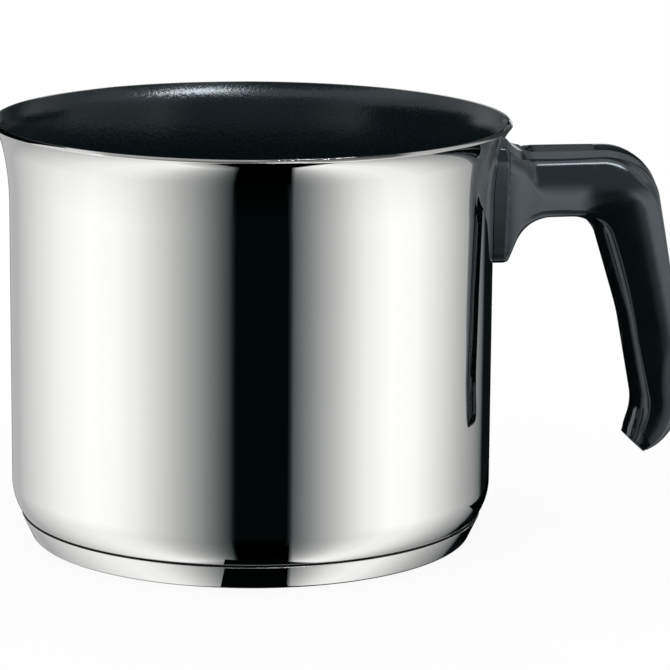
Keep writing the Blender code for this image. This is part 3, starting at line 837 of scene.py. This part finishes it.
def rounded_end(rings, rounding):
    """The rings with the last one closed in over a rounding of the end face."""
    end = [Vector(point) for point in rings[-1]]
    middle = sum(end, Vector()) / len(end)
    behind = sum((Vector(point) for point in rings[-2]), Vector()) / len(end)
    across = end[0] - end[len(end) // 2 - 1]
    ahead = Vector((-across.z, 0.0, across.x)).normalized()
    if ahead.dot(middle - behind) < 0.0:
        ahead.negate()
    closed = []
    for turn in even(0.0, math.pi / 2, END_STEPS):
        inset = rounding * (1.0 - math.cos(turn))
        back = rounding * (math.sin(turn) - 1.0)
        closed.append([p + (middle - p).normalized() * inset + ahead * back for p in end])
    return rings[:-1] + closed


def handle_mesh(vessel, sizes):
    """The handle's blank, before the hollows are cut."""
    inner_corners, outer_corners = handle_corners(vessel, sizes)
    inner_path = rounded_path(inner_corners, INNER_BEND_SHARES)
    outer_path = rounded_path(outer_corners, OUTER_BEND_SHARES)
    rings = [
        handle_ring(vessel, sizes, Vector(inner[1:]), Vector(outer[1:]), inner[0])
        for inner, outer in zip(inner_path, outer_path)
    ]
    return loft(rounded_end(rings, sizes.tip_rounding))


def cut_away(piece, cutters):
    """Cut closed meshes out of a piece and keep only the result."""
    for cutter in cutters:
        change = piece.modifiers.new("cut", "BOOLEAN")
        change.operation = "DIFFERENCE"
        change.solver = "EXACT"
        change.object = cutter
    bpy.context.view_layer.update()
    depsgraph = bpy.context.evaluated_depsgraph_get()
    result = bpy.data.meshes.new_from_object(piece.evaluated_get(depsgraph))
    old = piece.data
    piece.modifiers.clear()
    piece.data = result
    bpy.data.meshes.remove(old)
    for cutter in cutters:
        bpy.data.objects.remove(cutter, do_unlink=True)


def cutter_from(build):
    """A closed bmesh as a cutter."""
    bmesh.ops.recalc_face_normals(build, faces=build.faces)
    return add_object("cutter", build)


def prism_cutter(outline, bottom, top):
    """A cutter with an upright side over an outline."""
    return cutter_from(loft([[(x, y, z) for x, y in outline] for z in (bottom, top)]))


def box_cutter(low, high):
    """A box between two corners as a cutter."""
    ring = [(low[0], low[1]), (high[0], low[1]), (high[0], high[1]), (low[0], high[1])]
    return prism_cutter(ring, low[2], high[2])


def bore_cutter(reach, bottom, top, radius):
    """An upright cylinder on the handle's centre plane as a cutter."""
    turns = even(0.0, math.tau, BORE_STEPS)[:-1]
    ring = [(reach + radius * math.cos(a), radius * math.sin(a)) for a in turns]
    return prism_cutter(ring, bottom, top)


def handle_cutters(vessel, sizes):
    """The hollows that the bracket, the screw and its washer sit in."""
    gap = Vector((vessel.lining_gap,) * 3)
    plate_low, plate_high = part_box("handle_bracket")
    screw_low, screw_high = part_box("handle_screw")
    washer_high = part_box("screw_washer")[1]
    plate_start = vessel.wall_radius - sizes.seat_sink * 2
    plate_end = vessel.wall_radius + sizes.plate_thickness
    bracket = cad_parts["handle_bracket"].data
    tongue = [spot.co for spot in bracket.vertices if spot.co.x > screw_high.x]
    tongue_low, tongue_high = (
        Vector([end(spot[axis] for spot in tongue) for axis in range(3)]) for end in (min, max)
    )
    tongue_low.x = vessel.wall_radius
    reach = (screw_low.x + screw_high.x) / 2
    underside = vessel.height - sizes.arm_drop - sizes.arm_thickness
    below = underside - sizes.arm_thickness / 4
    return [
        box_cutter(
            (plate_start, *(plate_low - gap).yz), (plate_end + gap.x, *(plate_high + gap).yz)
        ),
        box_cutter(tongue_low - gap, tongue_high + gap),
        bore_cutter(reach, below, washer_high.z + gap.z, washer_high.x - reach + gap.x),
        bore_cutter(reach, below, screw_high.z + gap.z, sizes.shank_radius + gap.x),
    ]


def add_node(tree, kind, settings=None, links=None, **attributes):
    """Add a node, set its attributes and sockets, and link other sockets to it."""
    node = tree.nodes.new(kind)
    for name, value in attributes.items():
        setattr(node, name, value)
    for socket, value in (settings or {}).items():
        node.inputs[socket].default_value = value
    for socket, source in (links or {}).items():
        tree.links.new(source, node.inputs[socket])
    return node


def map_range(tree, source, limits, low=0.0, high=1.0):
    """A value's place between two limits, mapped between two values."""
    settings = {"From Min": limits[0], "From Max": limits[1], "To Min": low, "To Max": high}
    return add_node(tree, "ShaderNodeMapRange", settings, {"Value": source}).outputs[0]


def calculate(tree, operation, *values):
    """The result of a Math node, from sockets and plain numbers."""
    numbers, links = {}, {}
    for place, value in enumerate(values):
        (links if isinstance(value, bpy.types.NodeSocket) else numbers)[place] = value
    return add_node(tree, "ShaderNodeMath", numbers, links, operation=operation).outputs[0]


def mixed(tree, share, first, second):
    """A colour between two colours, each a socket or a plain colour."""
    settings, links = {}, {"Factor": share}
    for socket, value in (("A", first), ("B", second)):
        if isinstance(value, bpy.types.NodeSocket):
            links[socket] = value
        else:
            settings[socket] = (*value, 1.0)
    return add_node(tree, "ShaderNodeMix", settings, links, data_type="RGBA").outputs["Result"]


def noise(tree, settings, stretch=(1.0, 1.0, 1.0)):
    """Noise through the piece, stretched along its axes."""
    place = add_node(tree, "ShaderNodeTexCoord").outputs["Object"]
    along = add_node(tree, "ShaderNodeMapping", {"Scale": stretch}, {"Vector": place}).outputs[0]
    return add_node(tree, "ShaderNodeTexNoise", settings, {"Vector": along}).outputs["Fac"]


def set_tone(tree, shader, share, first, second):
    """Base colour between two colours."""
    tree.links.new(mixed(tree, share, first, second), shader.inputs["Base Color"])


def set_roughness(tree, shader, source, low, high):
    """Roughness that varies with a noise between two values."""
    tree.links.new(map_range(tree, source, NOISE_RANGE, low, high), shader.inputs["Roughness"])


def set_bump(tree, shader, height, strength, distance):
    """Relief from a noise, of a real height in metres."""
    bump = add_node(
        tree, "ShaderNodeBump", {"Strength": strength, "Distance": distance}, {"Height": height}
    )
    tree.links.new(bump.outputs[0], shader.inputs["Normal"])


def dimmed(levels, share):
    """A colour with its levels multiplied."""
    return [level * share for level in levels]


def new_material(name, settings):
    """A material with one Principled shader, its tree and the shader."""
    finish = bpy.data.materials.new(name)
    finish.use_nodes = True
    shader = finish.node_tree.nodes["Principled BSDF"]
    for socket, value in settings.items():
        shader.inputs[socket].default_value = value
    return finish, finish.node_tree, shader


def empty_material(name):
    """A material without nodes, and its tree."""
    finish = bpy.data.materials.new(name)
    finish.use_nodes = True
    finish.node_tree.nodes.clear()
    return finish, finish.node_tree


def add_glow(tree, settings, links=None):
    """Let a material glow and do nothing else."""
    light = add_node(tree, "ShaderNodeEmission", settings, links)
    add_node(tree, "ShaderNodeOutputMaterial", {}, {"Surface": light.outputs[0]})


def polished_steel(colours):
    """Stainless steel, deep drawn and mirror polished: a near-perfect mirror whose reflections
    waver a little where the sheet was drawn, with a faint haze of polishing lines."""
    finish, tree, shader = new_material("mirror_polished_stainless", {"Metallic": 1.0})
    # Polishing lines about 1 mm apart up the wall, real ones are finer than a pixel
    haze = noise(tree, {"Scale": 40.0, "Detail": 3.0}, (1.0, 1.0, 25.0))
    set_roughness(tree, shader, haze, 0.012, 0.022)
    set_tone(tree, shader, haze, colours.steel, dimmed(colours.steel, 0.985))
    # Drawing waves about 40 mm long
    set_bump(tree, shader, noise(tree, {"Scale": 25.0, "Detail": 0.0}), 0.06, 0.00005)
    return finish


def sprayed_lining(colours):
    """Non-stick fluoropolymer coating, sprayed and baked: near-black satin with a fine orange
    peel and sparse mica flakes, so highlights break up into specks."""
    finish, tree, shader = new_material(
        "sprayed_nonstick_coating",
        {"Metallic": 0.0, "IOR": 1.42, "Specular Tint": (*colours.sheen, 1.0)},
    )
    # Flakes of about 0.5 mm, real ones are finer than a pixel
    place = add_node(tree, "ShaderNodeTexCoord").outputs["Object"]
    flakes = add_node(tree, "ShaderNodeTexVoronoi", {"Scale": 2000.0}, {"Vector": place})
    chosen = add_node(tree, "ShaderNodeSeparateColor", {}, {"Color": flakes.outputs["Color"]})
    sparse = map_range(tree, chosen.outputs[0], (0.88, 1.0), 0.0, 0.06)
    set_tone(tree, shader, sparse, colours.lining, colours.flake)
    # Orange peel about 1 mm from crest to crest
    peel = noise(tree, {"Scale": 1000.0, "Detail": 2.0, "Roughness": 0.6})
    set_roughness(tree, shader, peel, 0.15, 0.23)
    set_bump(tree, shader, peel, 0.6, 0.0001)
    return finish


def phenolic_moulding(colours):
    """Phenolic resin, compression moulded in a polished tool: deep black with a hard gloss and
    the faint flow waves that such mouldings keep."""
    finish, tree, shader = new_material(
        "compression_moulded_phenolic",
        {
            "Metallic": 0.0,
            "IOR": 1.6,
            "Specular IOR Level": 0.8,
            "Specular Tint": (*colours.sheen, 1.0),
        },
    )
    # Flow waves about 6 mm long
    flow = noise(tree, {"Scale": 160.0, "Detail": 2.0})
    set_tone(tree, shader, flow, colours.moulding, dimmed(colours.moulding, 1.5))
    set_roughness(tree, shader, flow, 0.09, 0.13)
    set_bump(tree, shader, flow, 0.2, 0.00004)
    return finish


def worked_metal(name, tone, roughness, scale, stretch):
    """A plain metal finish: grain of the given density, stretched along the working direction."""
    finish, tree, shader = new_material(name, {"Metallic": 1.0, "Roughness": roughness})
    grain = noise(tree, {"Scale": scale, "Detail": 4.0}, stretch)
    set_tone(tree, shader, grain, dimmed(tone, GRAIN_TONE), tone)
    set_roughness(tree, shader, grain, *(roughness * share for share in GRAIN_ROUGHNESS))
    return finish


def milk_pan():
    """The settings that the panel shows."""
    return bpy.context.scene.milk_pan


def shared_material(name, make):
    """The finish of that name, made once and shared by the pieces that have it."""
    return bpy.data.materials.get(name) or make(milk_pan().finishes)


class BuildVessel(bpy.types.Operator):
    """Turn the drawn steel vessel with its flared pouring rim"""

    bl_idname = "milk_pan.build_vessel"
    bl_label = "Vessel"

    def execute(self, context):
        sizes = milk_pan().vessel
        profile = shell_profile(vessel_outline(sizes), sizes.steel_thickness, sizes.edge_rounding)
        steel = shared_material("mirror_polished_stainless", polished_steel)
        vessel = finish_piece("vessel", lathe(profile), steel)
        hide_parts("pan_body")
        return {"FINISHED"}


class BuildLining(bpy.types.Operator):
    """Turn the non-stick lining inside the vessel"""

    bl_idname = "milk_pan.build_lining"
    bl_label = "Lining"

    def execute(self, context):
        sizes = milk_pan().vessel
        steel_side = offset_path(vessel_outline(sizes), sizes.steel_thickness + sizes.lining_gap)
        outer = shortened(steel_side, sizes.lining_setback)
        rounding = sizes.lining_thickness * LINING_EDGE_SHARE
        profile = shell_profile(outer, sizes.lining_thickness, rounding)
        coating = shared_material("sprayed_nonstick_coating", sprayed_lining)
        lining = finish_piece("lining", lathe(profile), coating)
        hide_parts("nonstick_lining")
        return {"FINISHED"}


class BuildCapsule(bpy.types.Operator):
    """Turn the steel capsule that closes the base"""

    bl_idname = "milk_pan.build_capsule"
    bl_label = "Capsule base"

    def execute(self, context):
        sizes = milk_pan().capsule
        inner = offset_path(capsule_outline(sizes, False), sizes.thickness)
        outer = capsule_outline(sizes, True)
        edge = rounded_edge(inner[-1], outer[-1], sizes.thickness * CAPSULE_EDGE_SHARE)
        profile = inner[:-1] + edge + outer[-2::-1]
        steel = shared_material("mirror_polished_stainless", polished_steel)
        capsule = finish_piece("capsule", lathe(profile), steel)
        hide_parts("base_cap")
        return {"FINISHED"}


class BuildJoint(bpy.types.Operator):
    """Turn the thin line of braze between the vessel and the capsule, dark as a painted shadow of
    the gap
    """

    bl_idname = "milk_pan.build_joint"
    bl_label = "Brazed joint"

    def execute(self, context):
        capsule = milk_pan().capsule
        low = capsule.height - capsule.joint_width / 2
        top = capsule.height + capsule.joint_width
        edge = capsule.edge_radius - capsule.joint_sink
        wall = reach_at(vessel_outline(milk_pan().vessel), top)
        section = [
            (edge - capsule.joint_width, low),
            (edge, low),
            (edge, capsule.height),
            (wall + capsule.joint_width * SHADED_BRAZE_PROUD_SHARE, top),
            (wall - capsule.joint_width, top),
        ]
        # Braze line, darkened as a painted shadow of the gap between vessel and capsule: dark and
        # dull, without a direction
        shaded_braze_colour = milk_pan().finishes.shaded_braze
        shaded_braze = worked_metal("shaded_braze_joint", shaded_braze_colour, 0.55, 600.0, (1.0, 1.0, 1.0))
        joint = finish_piece("shaded_braze_joint", turned_ring(section), shaded_braze)
        return {"FINISHED"}


class BuildHandle(bpy.types.Operator):
    """Loft the moulded handle and cut its seat, slot and screw bore"""

    bl_idname = "milk_pan.build_handle"
    bl_label = "Handle"

    def execute(self, context):
        vessel = milk_pan().vessel
        sizes = milk_pan().handle
        resin = shared_material("compression_moulded_phenolic", phenolic_moulding)
        handle = finish_piece("moulded_handle", handle_mesh(vessel, sizes), resin)
        side = offset_path(vessel_outline(vessel), -vessel.lining_gap)
        reach, top = (value + SEAT_MARGIN for value in side[-1])
        seat = cutter_from(lathe([(0.0, top), (reach, top)] + side[::-1]))
        cut_away(handle, [seat, *handle_cutters(vessel, sizes)])
        handle.data.shade_smooth()
        handle.data.set_sharp_from_angle(angle=math.radians(HANDLE_SHARP_FROM))
        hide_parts("handle")
        return {"FINISHED"}


class DressHiddenPieces(bpy.types.Operator):
    """Give the core, the bracket, the screw and its washer their metal finishes"""

    bl_idname = "milk_pan.dress_hidden_pieces"
    bl_label = "Core, bracket and screw"

    def execute(self, context):
        colours = milk_pan().finishes
        # Aluminium disc, hot rolled and stamped: pale and dull with a grain across it
        rolled = worked_metal("rolled_aluminium", colours.aluminium, 0.38, 90.0, (1.0, 12.0, 1.0))
        # Mild steel, cold pressed: grey with the soft sheen of the press
        pressed = worked_metal("pressed_steel", colours.bracket, 0.34, 120.0, (1.0, 6.0, 1.0))
        # Zinc, electroplated over a turned screw: bright, slightly blue and fine-grained
        plated = worked_metal("electroplated_zinc", colours.zinc, 0.28, 400.0, (1.0, 1.0, 3.0))
        for node, finish in (
            ("base_core", rolled),
            ("handle_bracket", pressed),
            ("handle_screw", plated),
            ("screw_washer", plated),
        ):
            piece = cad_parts[node]
            piece.data.materials.clear()
            piece.data.materials.append(finish)
        return {"FINISHED"}


class BuildStudio(bpy.types.Operator):
    """Set up the white floor, the light tent and the photograph's camera"""

    bl_idname = "milk_pan.build_studio"
    bl_label = "Floor, light tent and camera"

    def execute(self, context):
        studio = milk_pan().studio
        build_world(context.scene)
        build_floor(studio)
        build_tent(studio)
        for card in CARDS:
            build_card(studio, *card)
        for card in NEAR_CARDS:
            build_near_card(studio, *card)
        build_camera(context.scene, studio)
        context.scene.view_settings.view_transform = "Standard"
        return {"FINISHED"}


def build_world(scene):
    """Even white light from all round, which is also the white background."""
    world = bpy.data.worlds.new("studio_world")
    world.use_nodes = True
    background = world.node_tree.nodes["Background"]
    background.inputs["Color"].default_value = WHITE
    background.inputs["Strength"].default_value = 1.0
    scene.world = world


def add_stage(name, build, finish):
    """A bmesh as a piece of the stage."""
    piece = add_object(name, build)
    piece.data.materials.append(finish)
    return piece


def build_floor(studio):
    """Matt white laminate that blends into the white background, with a soft shadow left on it.
    The polished steel mirrors the tent in place of the floor."""
    finish, tree, shader = new_material(
        "matt_white_laminate", {"Base Color": WHITE, "Roughness": 0.9, "Specular IOR Level": 0.0}
    )
    glow = add_node(tree, "ShaderNodeEmission", {"Color": WHITE, "Strength": 1.0})
    seen = add_node(tree, "ShaderNodeLightPath").outputs["Is Camera Ray"]
    share = calculate(tree, "MULTIPLY", seen, studio.floor_whiteness)
    links = {0: share, 1: shader.outputs[0], 2: glow.outputs[0]}
    blended = add_node(tree, "ShaderNodeMixShader", {}, links).outputs[0]
    add_node(tree, "ShaderNodeOutputMaterial", {}, {"Surface": blended}, is_active_output=True)
    build = bmesh.new()
    bmesh.ops.create_grid(build, x_segments=1, y_segments=1, size=studio.floor_size / 2)
    floor = add_stage("studio_floor", build, finish)
    floor.visible_glossy = False


def only_mirrored(piece, studio, height=0.0):
    """Turn a stage piece with the camera and show it in mirror reflections alone."""
    piece.rotation_euler.z = studio.handle_azimuth
    piece.location.z = height
    for rays in ("camera", "diffuse", "transmission", "shadow", "volume_scatter"):
        setattr(piece, "visible_" + rays, False)


def grey_ramp(tree, greys, turn):
    """The colour of one band of the tent, from (degrees, grey) stops round it."""
    ramp = add_node(tree, "ShaderNodeValToRGB", {}, {"Fac": turn})
    stops = ramp.color_ramp.elements
    while len(stops) > 1:
        stops.remove(stops[-1])
    for index, (degrees, grey) in enumerate(greys):
        where = (degrees + 180) / 360
        stop = stops[0] if index == 0 else stops.new(where)
        stop.position = where
        stop.color = (*linear(grey), 1.0)
    return ramp.outputs["Color"]


def tent_colour(tree, right, toward, up):
    """The greys round the tent, band over band."""
    turn = map_range(tree, calculate(tree, "ARCTAN2", right, toward), (-math.pi, math.pi))
    greys = grey_ramp(tree, TENT_GREYS, turn)
    for stops, limits in (
        (ARM_GREYS, ARM_START),
        (UPPER_GREYS, UPPER_START),
        (CROWN_GREYS, CROWN_START),
    ):
        above = map_range(tree, up, [math.sin(math.radians(degrees)) for degrees in limits])
        greys = mixed(tree, above, greys, grey_ramp(tree, stops, turn))
    return greys


def tent_opening(tree, right, toward, back, up):
    """How far the tent is closed: none in its opening, which runs in under the pan."""
    slanted = calculate(tree, "MULTIPLY_ADD", toward, OPENING_SLANT, right)
    aside = calculate(tree, "ABSOLUTE", calculate(tree, "SUBTRACT", slanted, OPENING_MIDDLE))
    width = calculate(tree, "MULTIPLY_ADD", toward, *OPENING_WIDTH)
    flare = calculate(tree, "MULTIPLY_ADD", toward, *OPENING_FLARE)
    outside = calculate(tree, "SUBTRACT", aside, calculate(tree, "MAXIMUM", width, flare))
    closed = map_range(tree, outside, OPENING_EDGE)
    for source, limits in ((back, OPENING_BACK), (up, OPENING_TOP)):
        closed = calculate(tree, "MAXIMUM", closed, map_range(tree, source, limits))
    return closed


def build_tent(studio):
    """A round light tent whose glow runs through the greys that the steel wall mirrors."""
    finish, tree = empty_material("light_tent_cloth")
    place = add_node(tree, "ShaderNodeTexCoord").outputs["Object"]
    unit = add_node(tree, "ShaderNodeVectorMath", {}, {0: place}, operation="NORMALIZE")
    right, back, up = add_node(tree, "ShaderNodeSeparateXYZ", {}, {0: unit.outputs[0]}).outputs
    toward = calculate(tree, "MULTIPLY", back, -1.0)
    full = studio.tent_strength
    foot = map_range(tree, up, FOOT_HEIGHTS, full * FOOT_GLOW, full)
    shadow = map_range(tree, up, SHADOW_HEIGHTS, SHADOW_GLOW)
    closed = tent_opening(tree, right, toward, back, up)
    strength = calculate(tree, "MULTIPLY", calculate(tree, "MULTIPLY", closed, foot), shadow)
    greys = tent_colour(tree, right, toward, up)
    add_glow(tree, {}, {"Color": greys, "Strength": strength})
    build = bmesh.new()
    bmesh.ops.create_uvsphere(build, u_segments=96, v_segments=48, radius=studio.tent_radius)
    only_mirrored(add_stage("studio_light_tent", build, finish), studio, studio.tent_height)


def card_paper(name, grey, strength):
    """White or black card, or the cloth of a softbox, with an even glow."""
    finish, tree = empty_material(name)
    add_glow(tree, {"Color": (*linear(grey), 1.0), "Strength": strength})
    return finish


def build_card(studio, name, azimuths, elevations, strength):
    """A curved card or softbox that hangs just inside the tent."""
    build = bmesh.new()
    rows = []
    for up in even(*map(math.radians, elevations), CARD_STEPS):
        row = []
        for across in even(*map(math.radians, azimuths), CARD_STEPS):
            toward = Vector((math.sin(across), -math.cos(across), math.tan(up))).normalized()
            row.append(build.verts.new(toward * studio.tent_radius * CARD_DISTANCE))
        rows.append(row)
    skin(build, rows, around=False)
    card = add_stage("studio_" + name, build, card_paper(name, "#ffffff", strength))
    only_mirrored(card, studio, studio.tent_height)


def build_near_card(studio, name, low, high, grey, strength):
    """A flat card that lies, stands or hangs by the pan."""
    build = bmesh.new()
    flat = [low[axis] == high[axis] for axis in range(3)].index(True)
    first, second = [axis for axis in range(3) if axis != flat]
    corners = []
    for one, other in ((low, low), (high, low), (high, high), (low, high)):
        corner = list(low)
        corner[first], corner[second] = one[first], other[second]
        corners.append(build.verts.new(corner))
    build.faces.new(corners)
    only_mirrored(add_stage("studio_" + name, build, card_paper(name, grey, strength)), studio)


def build_camera(scene, studio):
    """The photograph's camera: a long lens from a little above the rim."""
    lens = bpy.data.cameras.new("photo_camera")
    lens.sensor_width = SENSOR_MM
    lens.lens = FOCAL_PIXELS * SENSOR_MM / IMAGE_PIXELS
    lens.clip_end = 20.0
    camera = bpy.data.objects.new("photo_camera", lens)
    scene.collection.objects.link(camera)
    yaw, pitch, roll = (math.radians(a) for a in (CAMERA_YAW, CAMERA_PITCH, CAMERA_ROLL))
    camera.matrix_world = (
        Matrix.Rotation(studio.handle_azimuth, 4, "Z")
        @ Matrix.Translation(CAMERA_PLACE)
        @ Matrix.Rotation(-yaw, 4, "Z")
        @ Matrix.Rotation(math.pi / 2 - pitch, 4, "X")
        @ Matrix.Rotation(roll, 4, "Z")
    )
    scene.camera = camera


OPERATORS = (
    BuildVessel,
    BuildLining,
    BuildCapsule,
    BuildJoint,
    BuildHandle,
    DressHiddenPieces,
    BuildStudio,
)


class MilkPanPanel(bpy.types.Panel):
    """Lists the steps that build the milk pan"""

    bl_idname = "VIEW3D_PT_milk_pan"
    bl_label = "Milk pan"
    bl_space_type = "VIEW_3D"
    bl_region_type = "UI"
    bl_category = "Milk pan"

    def draw(self, context):
        for operator in OPERATORS:
            self.layout.operator(operator.bl_idname)
        for title in ("vessel", "capsule", "handle", "finishes", "studio"):
            values = getattr(milk_pan(), title)
            box = self.layout.box()
            box.label(text=title.capitalize())
            for name in values.bl_rna.properties.keys():
                if name not in ("rna_type", "name"):
                    box.prop(values, name)


CLASSES = (
    VesselSizes,
    CapsuleSizes,
    HandleSizes,
    Finishes,
    Studio,
    MilkPanSettings,
    *OPERATORS,
    MilkPanPanel,
)


def register():
    """Register the classes and the settings."""
    for kind in CLASSES:
        bpy.utils.register_class(kind)
    bpy.types.Scene.milk_pan = group(
        MilkPanSettings, "Milk pan", "Settings of the milk pan"
    )


def unregister():
    """Take the settings and the classes out again."""
    del bpy.types.Scene.milk_pan
    for kind in reversed(CLASSES):
        bpy.utils.unregister_class(kind)


def main():
    """Build everything."""
    register()
    for operator in OPERATORS:
        family, name = operator.bl_idname.split(".")
        getattr(getattr(bpy.ops, family), name)()


if __name__ == "__main__":
    main()
